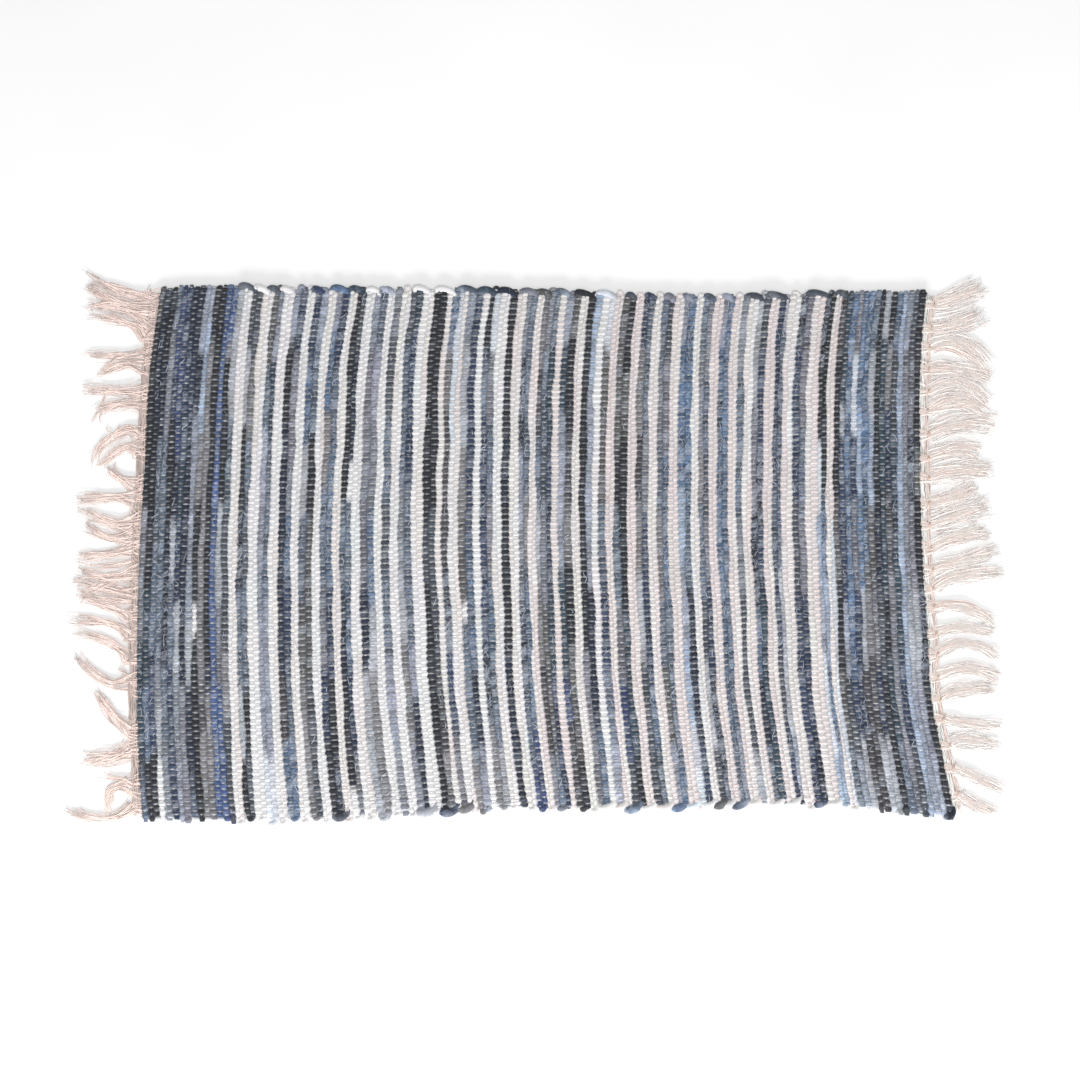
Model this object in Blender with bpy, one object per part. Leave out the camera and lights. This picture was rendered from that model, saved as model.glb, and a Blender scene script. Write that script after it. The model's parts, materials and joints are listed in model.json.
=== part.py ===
"""A flat-woven cotton rag rug with a knotted fringe at each end, lying flat.

Strips of cotton and denim are woven across the rug, so each pass of a strip, a pick, is one rib
that runs from one long side to the other. X is along the rug, Y is along the picks and Z is up.
The cloth is one solid. Each fringe is a solid of its own: a narrow heading of warp yarn along the
cloth's end, with the tassels fused into it. Tables are in millimetres, measured from the middle
of the view in which the rug was sized, and finish() moves all of it to stand over the origin.
"""

import math

import bmesh
import bpy
import numpy as np

MM = 0.001

# Thickness of the cloth and of the groove between two picks
CLOTH_THICKNESS = 6.0
GROOVE_DEPTH = 1.9
CREST_VARIATION = 0.5
SELVEDGE_HEIGHT = 2.6
SELVEDGE_ROUNDING = 5.0
STRIPE_NOTCH = 2.6
PICK_NOTCH = 1.2
PICK_WOBBLE = 0.5
ROWS = 9

# Rows of points of each edge of the cloth: the place along the edge, then the edge's own place
LEFT_EDGE = ((-313, -437), (-255, -443), (-183, -448), (-53, -452), (104, -451), (193, -450),
             (248, -446), (298, -441))
RIGHT_EDGE = ((-311, 454), (-272, 448), (-239, 443), (-189, 435), (-100, 433), (0, 431),
              (104, 433), (193, 437), (248, 442), (295, 449))
FRONT_EDGE = ((-437, -313), (-264, -314), (-154, -308), (-44, -302), (132, -302), (286, -298),
              (374, -302), (454, -311))
BACK_EDGE = ((-441, 298), (-396, 301), (-279, 298), (-81, 297), (35, 294), (186, 289), (338, 293),
             (449, 295))

# How the picks wander from straight: place along X, then the shift at the front, the front
# quarter, the back quarter and the back
WANDER = ((-452, 0, 0, 0, 0), (-340, 4, 4, 0, -2), (-215, 4, 3, 1, 2), (-160, 11, 8, 0, 0),
          (-100, 8, 7, -1, -1), (-45, 4, 4, -2, -3), (25, 3, 3, -1, -2), (70, 1, 3, 0, 1),
          (180, 0, 3, -1, -4), (250, -1, 1, 1, 0), (340, -4, -1, 1, 4), (432, 0, 0, 0, 0))
WANDER_PLACES = (0.04, 0.2, 0.5, 0.8, 0.96)

# Picks of the dark borders, and the width of each border
LEFT_BORDER = (15, 99)
RIGHT_BORDER = (15, 99)

# The field, from left to right: picks and width of a light stripe, then of the dark one beside it
FIELD = (
    (2, 10, 2, 12), (2, 12, 2, 12), (2, 11, 2, 14), (2, 9, 2, 15), (2, 9, 2, 14), (2, 9, 2, 12),
    (2, 10, 2, 16), (2, 9, 1, 8), (2, 10, 2, 14), (2, 14, 2, 15), (1, 7, 1, 7), (2, 12, 2, 16),
    (1, 8, 2, 14), (2, 11, 1, 8), (2, 11, 2, 11), (2, 9, 3, 17), (1, 8, 2, 15), (2, 9, 2, 14),
    (1, 8, 1, 8), (2, 9, 2, 15), (2, 10, 2, 14), (2, 9, 2, 14), (2, 12, 2, 14), (2, 9, 2, 11),
    (2, 9, 2, 12), (1, 8, 1, 7), (2, 9, 3, 17), (2, 9, 2, 14), (2, 8, 2, 17), (2, 9, 2, 14),
    (2, 9, 0, 0),
)

# The heading of each fringe, and its locks of yarn
GAP = 0.45
HEADING_WIDTH = {"left": 9.0, "right": 7.0}
HEADING_HEIGHT = 3.6
HEADING_CREST = 0.6
KNOT_SIZE = 1.6
LOCK_WIDTH = 2.6
LOCK_HEIGHT = 3.0
LOCK_TIP = 0.7
LOCK_SPACING = 3.1
LOCK_ROOT_DEPTH = 3.0
LOCK_ROOT_LIFT = 0.8
LOCK_SECTIONS = 6
LOCKS_PER_TASSEL = 3

RAG_COLOUR = (0.24, 0.27, 0.32)
YARN_COLOUR = {"left": (0.72, 0.6, 0.53), "right": (0.8, 0.71, 0.65)}

# Tassels from back to front: the root's place along the end, then how far the tassel reaches from
# the cloth and how far it has swayed, at its middle and at its tip, and how wide its tip fans out
RIGHT_TASSELS = (
    (279, 33, 6, 65, 21, 16), (251, 37, 4, 68, 17, 20), (228, 44, 7, 74, -18, 14),
    (201, 42, 0, 78, -10, 10), (175, 42, 10, 75, -8, 8), (151, 43, 14, 78, 1, 12),
    (124, 46, 12, 83, 12, 16), (95, 42, 9, 68, 6, 9), (72, 44, 8, 79, 9, 14),
    (42, 38, 7, 62, 18, 14), (17, 40, 10, 77, 20, 18), (-10, 43, 13, 75, 17, 9),
    (-35, 38, 9, 79, 21, 8), (-57, 36, 14, 82, 18, 14), (-77, 38, -1, 73, -14, 8),
    (-108, 36, 7, 72, 3, 9), (-131, 41, 12, 75, 0, 8), (-157, 39, 10, 73, 1, 9),
    (-182, 31, 10, 68, 12, 12), (-204, 29, -3, 67, -6, 8), (-233, 24, 7, 60, 3, 14),
    (-258, 27, -7, 60, -23, 8), (-286, 21, -9, 47, -19, 9),
)
LEFT_TASSELS = (
    (289, 39, 2, 84, 25, 7), (278, 45, 4, 83, 22, 8), (265, 43, 8, 81, 15, 8),
    (242, 34, 16, 74, 24, 7), (218, 38, -1, 77, 0, 8), (205, 34, 1, 58, -11, 8),
    (174, 42, 1, 74, 2, 8), (160, 34, -1, 59, -9, 9), (122, 28, 3, 58, -18, 9),
    (105, 28, 1, 54, -19, 8), (63, 30, 10, 41, 22, 7), (47, 38, 2, 73, -1, 8),
    (20, 37, 1, 67, 14, 8), (4, 38, -1, 62, 12, 7), (-11, 41, -7, 72, -8, 8),
    (-40, 39, -3, 68, 6, 8), (-64, 34, 6, 71, 14, 8), (-88, 30, 10, 64, 23, 8),
    (-111, 30, 14, 72, 19, 8), (-138, 28, 18, 67, 31, 8), (-162, 35, 1, 67, 26, 8),
    (-216, 31, 20, 47, 42, 9), (-238, 29, -8, 61, -11, 14), (-278, 31, -2, 34, -24, 7),
    (-301, 40, -13, 80, -4, 8),
)


def through(table, place):
    """Smooth curve through the rows of an edge, read at a place along it."""
    places = np.array([row[0] for row in table], float)
    offsets = np.array([row[1] for row in table], float)
    slopes = np.gradient(offsets, places)
    i = int(np.clip(np.searchsorted(places, place) - 1, 0, len(places) - 2))
    span = places[i + 1] - places[i]
    t = (place - places[i]) / span
    start = offsets[i] * (1 + 2 * t) * (1 - t) ** 2 + slopes[i] * span * t * (1 - t) ** 2
    end = offsets[i + 1] * (3 - 2 * t) * t ** 2 - slopes[i + 1] * span * (1 - t) * t ** 2
    return start + end


def along(table, fraction):
    """Place that is this fraction of the way from an edge's first row to its last."""
    return table[0][0] + (table[-1][0] - table[0][0]) * fraction


def side_edge(table, v):
    y = along(table, v)
    return np.array((through(table, y), y))


def long_edge(table, u):
    x = along(table, u)
    return np.array((x, through(table, x)))


def wander(x, v):
    """Shift along X of the pick at x, v of the way from the front to the back."""
    places = [row[0] for row in WANDER]
    shifts = [np.interp(x, places, [row[i] for row in WANDER]) for i in range(1, 5)]
    return float(np.interp(v, WANDER_PLACES, (shifts[0], shifts[1], 0, shifts[2], shifts[3])))


def cloth_point(u, v):
    """Place on the cloth, u of the way along it and v of the way from its front to its back."""
    left, right = side_edge(LEFT_EDGE, v), side_edge(RIGHT_EDGE, v)
    front, back = long_edge(FRONT_EDGE, u), long_edge(BACK_EDGE, u)
    corners = ((1 - u) * (1 - v) * long_edge(FRONT_EDGE, 0) + u * (1 - v) * long_edge(FRONT_EDGE, 1)
               + (1 - u) * v * long_edge(BACK_EDGE, 0) + u * v * long_edge(BACK_EDGE, 1))
    point = (1 - u) * left + u * right + (1 - v) * front + v * back - corners
    point[0] += wander(point[0], v) * min(1, 12 * u, 12 * (1 - u))
    return point


def pick_widths():
    """Width of each pick, and whether it is the last of its stripe, from left to right."""
    stripes = [(1, LEFT_BORDER[1] / LEFT_BORDER[0])] * LEFT_BORDER[0]
    for light_picks, light_width, dark_picks, dark_width in FIELD:
        stripes += [(light_picks, light_width), (dark_picks, dark_width)]
    stripes += [(1, RIGHT_BORDER[1] / RIGHT_BORDER[0])] * RIGHT_BORDER[0]
    picks = []
    for count, width in stripes:
        for k in range(count):
            picks.append((width / count, k == count - 1))
    return picks


def columns():
    """Columns of the cloth's points: the place along it, the height and the notch at the sides."""
    picks = pick_widths()
    total = sum(width for width, _ in picks)
    valley = CLOTH_THICKNESS - GROOVE_DEPTH
    found = [(0.0, SELVEDGE_HEIGHT, PICK_NOTCH)]
    reached = 0.0
    for k, (width, last) in enumerate(picks):
        crest = CLOTH_THICKNESS - CREST_VARIATION * (0.5 + 0.5 * math.sin(2.1 * k))
        found.append(((reached + width / 2) / total, crest, 0.0))
        reached += width
        found.append((reached / total, valley, STRIPE_NOTCH if last else PICK_NOTCH))
    found[-1] = (1.0, SELVEDGE_HEIGHT, PICK_NOTCH)
    return found


def row_places():
    """Rows of the cloth's points: the two sides, the two shoulders beside them and those between."""
    shoulder = SELVEDGE_ROUNDING / (LEFT_EDGE[-1][0] - LEFT_EDGE[0][0])
    inner = [k / (ROWS - 1) for k in range(1, ROWS - 1)]
    return [0.0, shoulder] + inner + [1 - shoulder, 1.0]


def new_object(name, bm, collection, material):
    mesh = bpy.data.meshes.new(name)
    bm.to_mesh(mesh)
    bm.free()
    mesh.shade_smooth()
    mesh.set_sharp_from_angle(angle=math.radians(50))
    mesh.materials.append(material)
    obj = bpy.data.objects.new(name, mesh)
    collection.objects.link(obj)
    return obj


def material(name, colour, roughness):
    made = bpy.data.materials.new(name)
    made.use_nodes = True
    shader = made.node_tree.nodes["Principled BSDF"]
    shader.inputs["Base Color"].default_value = (*colour, 1)
    shader.inputs["Roughness"].default_value = roughness
    shader.inputs["Metallic"].default_value = 0
    return made


def woven_cloth(collection):
    """The ribbed cloth: a grid with a column on each crest and groove, closed down to a flat back."""
    cols, rows = columns(), row_places()
    bm = bmesh.new()
    bmesh.ops.create_grid(bm, x_segments=len(cols) - 1, y_segments=len(rows) - 1, size=1)
    for vert in bm.verts:
        i = round((vert.co.x + 1) / 2 * (len(cols) - 1))
        j = round((vert.co.y + 1) / 2 * (len(rows) - 1))
        u, height, notch = cols[i]
        v = rows[j]
        x, y = cloth_point(u, v)
        if 0 < i < len(cols) - 1:
            x += PICK_WOBBLE * math.sin(1.7 * j + 0.4 * i)
        if v in (0.0, 1.0):
            y += notch if v == 0 else -notch
            height = SELVEDGE_HEIGHT
        vert.co = (x * MM, y * MM, height * MM)
    rim = [edge for edge in bm.edges if edge.is_boundary]
    walls = bmesh.ops.extrude_edge_only(bm, edges=rim)["geom"]
    for vert in (item for item in walls if isinstance(item, bmesh.types.BMVert)):
        vert.co.z = 0
    base = [edge for edge in bm.edges if edge.is_boundary]
    bmesh.ops.contextual_create(bm, geom=base)
    bmesh.ops.triangulate(bm, faces=[face for face in bm.faces if len(face.verts) > 4])
    bmesh.ops.recalc_face_normals(bm, faces=bm.faces)
    return new_object("woven_cloth", bm, collection, material("woven rags", RAG_COLOUR, 0.9))


def loft(bm, sections):
    """Closed skin over sections that have the same number of points."""
    rings = [[bm.verts.new([value * MM for value in point]) for point in section]
             for section in sections]
    count = len(rings[0])
    for first, second in zip(rings, rings[1:]):
        for k in range(count):
            after = (k + 1) % count
            bm.faces.new((first[k], first[after], second[after], second[k]))
    bm.faces.new(rings[0])
    bm.faces.new(reversed(rings[-1]))


def cloth_end(side, y):
    """X of the cloth's end wall at y, read off the same straight runs that the cloth's rows make."""
    u = 0.0 if side == "left" else 1.0
    points = [cloth_point(u, v) for v in row_places()]
    return float(np.interp(y, [point[1] for point in points], [point[0] for point in points]))


def heading(side, tassels):
    """The strip of warp yarn along the cloth's end, thicker at each tassel's knot."""
    out = -1 if side == "left" else 1
    table = LEFT_EDGE if side == "left" else RIGHT_EDGE
    roots = sorted(row[0] for row in tassels)
    stations = [(table[0][0] + PICK_NOTCH + 1, 0)]
    for k, root in enumerate(roots):
        stations.append((root, KNOT_SIZE))
        if k + 1 < len(roots):
            stations.append(((root + roots[k + 1]) / 2, 0))
    stations.append((table[-1][0] - PICK_NOTCH - 1, 0))
    sections = []
    for y, knot in stations:
        inner = cloth_end(side, y) + out * GAP
        outer = inner + out * (HEADING_WIDTH[side] + knot)
        middle = (inner + outer) / 2
        top = HEADING_HEIGHT + knot / 2
        sections.append(((inner, y, 0), (outer, y, 0), (outer, y, top - 2 * HEADING_CREST),
                         (middle, y, top), (inner, y, top - HEADING_CREST)))
    bm = bmesh.new()
    loft(bm, sections)
    bmesh.ops.recalc_face_normals(bm, faces=bm.faces)
    return bm


def bow(middle, tip, t):
    """Value that is 0 at t = 0, passes through middle halfway and ends at tip."""
    return 4 * middle * t * (1 - t) + tip * t * (2 * t - 1)


def tassel_locks(bm, side, row):
    """Three-sided locks of one tassel, side by side, that lie flat on the floor and fan out."""
    root, mid_reach, mid_sway, tip_reach, tip_sway, fan = row
    out = -1 if side == "left" else 1
    start = GAP + HEADING_WIDTH[side] + KNOT_SIZE - LOCK_ROOT_DEPTH
    end = cloth_end(side, root)
    tip_spacing = max(LOCK_SPACING, fan / 2)
    steps = np.linspace(0, 1, LOCK_SECTIONS)
    for k in range(LOCKS_PER_TASSEL):
        rank = k - (LOCKS_PER_TASSEL - 1) / 2
        path = []
        for t in steps:
            reach = start + bow(mid_reach - start, tip_reach - start, t)
            spacing = LOCK_SPACING + (tip_spacing - LOCK_SPACING) * t ** 2
            path.append((reach, bow(mid_sway, tip_sway, t), spacing * rank))
        sections = []
        for i, (reach, sway, aside) in enumerate(path):
            before, after = path[max(i - 1, 0)], path[min(i + 1, len(path) - 1)]
            run, rise = after[0] - before[0], after[1] - before[1]
            if i == 0:
                run, rise = 1.0, 0.0
            length = math.hypot(run, rise)
            normal = (-rise / length, run / length)
            size = 1 - (1 - LOCK_TIP) * steps[i] ** 2
            half = LOCK_WIDTH / 2 * size
            lift = LOCK_ROOT_LIFT if i == 0 else 0
            section = []
            for across, height in ((-half, lift), (half, lift), (0, LOCK_HEIGHT * size - lift)):
                offset = aside + across
                section.append((end + out * (reach + normal[0] * offset),
                                root + sway + normal[1] * offset, height))
            sections.append(section)
        loft(bm, sections)


def fringe(side, tassels, collection, helpers):
    """Heading and locks joined as one solid."""
    yarn = material("warp yarn " + side, YARN_COLOUR[side], 0.85)
    strip = new_object("fringe_" + side, heading(side, tassels), collection, yarn)
    bm = bmesh.new()
    for row in tassels:
        tassel_locks(bm, side, row)
    bmesh.ops.recalc_face_normals(bm, faces=bm.faces)
    locks = new_object("locks_" + side, bm, helpers, yarn)
    locks.hide_render = True
    locks.display_type = "WIRE"
    union = strip.modifiers.new("tassels", "BOOLEAN")
    union.operation = "UNION"
    union.object = locks
    return strip, locks


def finish(objects):
    """Moves every mesh so that the rug and its fringes lie centred over the origin."""
    corners = np.array([vert.co for obj in objects for vert in obj.data.vertices])
    shift = (corners.min(axis=0) + corners.max(axis=0)) / 2
    for obj in objects:
        for vert in obj.data.vertices:
            vert.co.x -= shift[0]
            vert.co.y -= shift[1]


def main():
    for obj in list(bpy.data.objects):
        bpy.data.objects.remove(obj, do_unlink=True)
    collection = bpy.data.collections.new("cotton rug")
    helpers = bpy.data.collections.new("cutters")
    bpy.context.scene.collection.children.link(collection)
    bpy.context.scene.collection.children.link(helpers)
    made = [woven_cloth(collection)]
    made += fringe("left", LEFT_TASSELS, collection, helpers)
    made += fringe("right", RIGHT_TASSELS, collection, helpers)
    finish(made)


main()
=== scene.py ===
"""Looks of a flat-woven cotton rag rug with a knotted fringe at each end, lying flat.

Strips of cotton and denim rag, the picks, run across the rug along Y. Pale warp yarns run along X,
over one pick and under the next, and end in the fringes. Tables are in millimetres, measured from
the middle of the view in which the rug was sized. Rug.place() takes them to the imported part's own
frame, in metres.
"""

import itertools
import json
import math
from types import SimpleNamespace

import bpy
import numpy as np
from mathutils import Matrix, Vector

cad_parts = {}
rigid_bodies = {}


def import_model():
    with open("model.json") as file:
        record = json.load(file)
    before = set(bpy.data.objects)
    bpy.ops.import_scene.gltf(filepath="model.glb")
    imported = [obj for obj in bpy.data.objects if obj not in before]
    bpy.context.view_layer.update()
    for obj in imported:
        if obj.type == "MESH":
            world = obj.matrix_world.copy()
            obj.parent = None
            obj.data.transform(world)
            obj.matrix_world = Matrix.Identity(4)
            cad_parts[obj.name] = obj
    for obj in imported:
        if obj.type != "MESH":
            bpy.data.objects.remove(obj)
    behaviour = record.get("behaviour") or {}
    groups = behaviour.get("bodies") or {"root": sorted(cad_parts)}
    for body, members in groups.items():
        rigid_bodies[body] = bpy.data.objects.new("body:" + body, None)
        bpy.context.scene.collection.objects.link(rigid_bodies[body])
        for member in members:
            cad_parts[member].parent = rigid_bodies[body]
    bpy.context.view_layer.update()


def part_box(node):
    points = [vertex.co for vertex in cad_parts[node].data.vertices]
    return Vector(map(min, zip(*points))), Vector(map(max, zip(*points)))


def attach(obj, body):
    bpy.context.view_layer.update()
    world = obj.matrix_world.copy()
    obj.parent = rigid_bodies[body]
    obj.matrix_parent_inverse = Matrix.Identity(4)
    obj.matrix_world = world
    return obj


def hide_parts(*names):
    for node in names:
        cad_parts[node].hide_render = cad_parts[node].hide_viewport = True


MM = 0.001
SEED = 20

# The camera: its height above the floor as an angle, its distance, where it looks, and its lens
VIEW_ELEVATION = 78.0
VIEW_DISTANCE = 2.2
VIEW_TARGET = (0.0035, 0.0005, 0)
LENS = 64.72
SENSOR = 36.0

# Rows of points of each edge of the cloth: the place along the edge, then the edge's own place
LEFT_EDGE = ((-313, -437), (-255, -443), (-183, -448), (-53, -452), (104, -451), (193, -450),
             (248, -446), (298, -441))
RIGHT_EDGE = ((-311, 454), (-272, 448), (-239, 443), (-189, 435), (-100, 433), (0, 431),
              (104, 433), (193, 437), (248, 442), (295, 449))
FRONT_EDGE = ((-437, -313), (-264, -314), (-154, -308), (-44, -302), (132, -302), (286, -298),
              (374, -302), (454, -311))
BACK_EDGE = ((-441, 298), (-396, 301), (-279, 298), (-81, 297), (35, 294), (186, 289), (338, 293),
             (449, 295))

# How the picks wander from straight: place along X, then the shift at the front, the front
# quarter, the back quarter and the back
WANDER = ((-452, 0, 0, 0, 0), (-340, 4, 4, 0, -2), (-215, 4, 3, 1, 2), (-160, 11, 8, 0, 0),
          (-100, 8, 7, -1, -1), (-45, 4, 4, -2, -3), (25, 3, 3, -1, -2), (70, 1, 3, 0, 1),
          (180, 0, 3, -1, -4), (250, -1, 1, 1, 0), (340, -4, -1, 1, 4), (432, 0, 0, 0, 0))
WANDER_PLACES = (0.04, 0.2, 0.5, 0.8, 0.96)

# The weave: the cloth's thickness and depth, the warp yarns across it and its thin middle
THICKNESS = 6.0
CLOTH_DEPTH = 604.0
WARP_ENDS = 176
GROUND_THICKNESS = 2.4

# A pick: its section, its bumps between warp yarns and its pinches under them, how far apart the two
# sections of a bump lie, in spacings of the warp, and how it slants and wanders
PICK_SECTION = ((-1, 0), (-0.6, 0.84), (0.6, 0.84), (1, 0), (0, -1))
BUMP_LIFT = 0.45
BUMP_HALF_HEIGHT = 2.5
PINCH_HALF_HEIGHT = 1.85
BUMP_WIDTH = 1.26
PINCH_WIDTH = 0.94
BUMP_STEP = 0.31
BUMP_SLANT = 0.4
BOUNDARY_DRIFT = 1.2
BOUNDARY_CELL = 32.0

# The picks' ends: how they round off, how far they reach past the front and the back edge, least
# and most, from where dark stripes stay short in front, and how a turning strip leans to its next
END_ROUNDING = 3.4
END_REACH = ((-1.0, 0.0), (5.0, 3.2))
END_STRETCH = 14.0
TUCKED_FROM = 0.56
TUCKED_REACH = (-3.2, -1.2)
TURN_LENGTH = 7.0
TURN_SHIFT = 0.3

# Rags that bulge past the long edges, and the smaller turns of the strips
LOOP_WIDTH = 4.4
TURN_WIDTH = 2.6
LOOP_LEAN = 1.3
LOOP_RISE = 4.4
LOOP_TUCK = 2.4
LOOP_HEIGHT = 3.6
LOOP_LIFT = 1.05

# A warp yarn: its section, then the heights of its crest over a pick and of the crest's shoulders
YARN_SECTION = ((-1, -0.5), (0, 1), (1, -0.5))
WARP_HALF_WIDTH = 1.7
WARP_HALF_HEIGHT = 0.72
WARP_CREST = 4.95
WARP_SHOULDER = 4.3
WARP_SHOULDER_PLACE = 0.28
WARP_SHOULDER_WIDTH = 0.78

# Rags by name: colour as it shows, in sRGB from 0 to 1, then how worn and flecked it is
RAGS = {
    "white": ((0.853, 0.85, 0.856), 0.05),
    "cream": ((0.845, 0.828, 0.822), 0.05),
    "pink": ((0.835, 0.797, 0.797), 0.05),
    "snow": ((0.775, 0.8, 0.835), 0.3),
    "silver": ((0.63, 0.645, 0.675), 0.5),
    "grey": ((0.46, 0.475, 0.515), 0.5),
    "charcoal": ((0.26, 0.28, 0.315), 0.35),
    "black": ((0.145, 0.155, 0.18), 0.15),
    "speckled": ((0.22, 0.24, 0.29), 1.0),
    "ink": ((0.14, 0.165, 0.225), 0.3),
    "navy": ((0.19, 0.23, 0.32), 0.55),
    "indigo": ((0.22, 0.26, 0.395), 0.5),
    "slate": ((0.345, 0.388, 0.45), 0.7),
    "steel": ((0.315, 0.38, 0.47), 0.8),
    "teal": ((0.195, 0.255, 0.305), 0.45),
    "denim": ((0.32, 0.4, 0.51), 0.9),
    "royal": ((0.27, 0.345, 0.505), 0.5),
    "cornflower": ((0.35, 0.435, 0.55), 0.7),
    "lilac": ((0.54, 0.56, 0.62), 0.65),
    "sky": ((0.58, 0.635, 0.72), 0.5),
    "taupe": ((0.455, 0.45, 0.465), 0.5),
    "olive": ((0.325, 0.325, 0.33), 0.45),
    "brown": ((0.26, 0.255, 0.275), 0.4),
    "mauve": ((0.425, 0.425, 0.465), 0.55),
}

# How far a join between two rags strays from its place in the tables, as a share of the pick, and
# how far it runs aslant and fades. Worn rags turn over here and there and show their pale back.
JOIN_SPREAD = 0.05
JOIN_SLANT = 7.0
JOIN_FADE = 8.0
PALE_BACK = (0.65, 0.68, 0.73)

# Threads frayed from worn rags: how many at most, the height of their tips and their rise between
FRAYS = 2000
FRAY_RADIUS = 0.36
FRAY_HEIGHT = 5.2
FRAY_RISE = 0.85

# Rags of the picks of the two dark borders, a line for each pick, from left to right. Each number
# between two rags is where the one ends and the next one starts, in hundredths from the back
BORDER_WIDTH = 99.0
LEFT_BORDER = """\
olive 8 black 44 grey 71 teal 88 slate
ink 27 black 58 teal 73 steel 90 black
black 14 ink 31 slate 70 navy 88 black
slate 13 grey 30 slate 72 grey 81 silver 89 white
indigo 18 navy 29 black 46 ink 57 speckled 74 slate 90 grey
navy 13 indigo 31 ink 45 silver 56 slate 72 navy
ink 12 navy 28 teal 43 navy 60 silver 72 grey 89 lilac
ink 13 navy 27 ink 76 mauve
lilac 14 ink 24 lilac 61 silver 74 ink 90 slate
lilac 10 sky 27 taupe 44 black 62 white 69 black
black 12 taupe 74 brown 86 taupe
black 70 ink 77 taupe
royal
royal 9 grey 15 black 43 silver 59 mauve 73 royal
silver 27 slate 44 charcoal 74 taupe 84 charcoal
""".splitlines()
RIGHT_BORDER = """\
brown 12 black 42 olive 58 black 73 olive 90 slate
teal 20 silver 28 navy 59 lilac 73 charcoal 88 lilac
denim 76 navy 86 silver
mauve 12 snow 28 navy 43 mauve 58 navy 88 brown
cornflower 27 sky 43 cornflower 58 silver 73 brown
denim 43 steel 51 olive 58 taupe 73 brown 88 silver
slate 12 silver 28 sky 43 olive 58 mauve 73 navy 88 silver
black 43 ink 57 charcoal 73 black
silver 12 teal 58 black 73 teal 90 slate
black 12 taupe 28 navy 43 brown 58 mauve 73 grey 88 mauve
steel 12 charcoal 28 teal 73 navy 90 charcoal
sky
lilac 12 mauve 61 silver 80 lilac
charcoal 12 mauve 28 speckled 43 mauve 58 silver 73 lilac
black 30 olive 43 black 58 speckled 73 black
""".splitlines()

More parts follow.
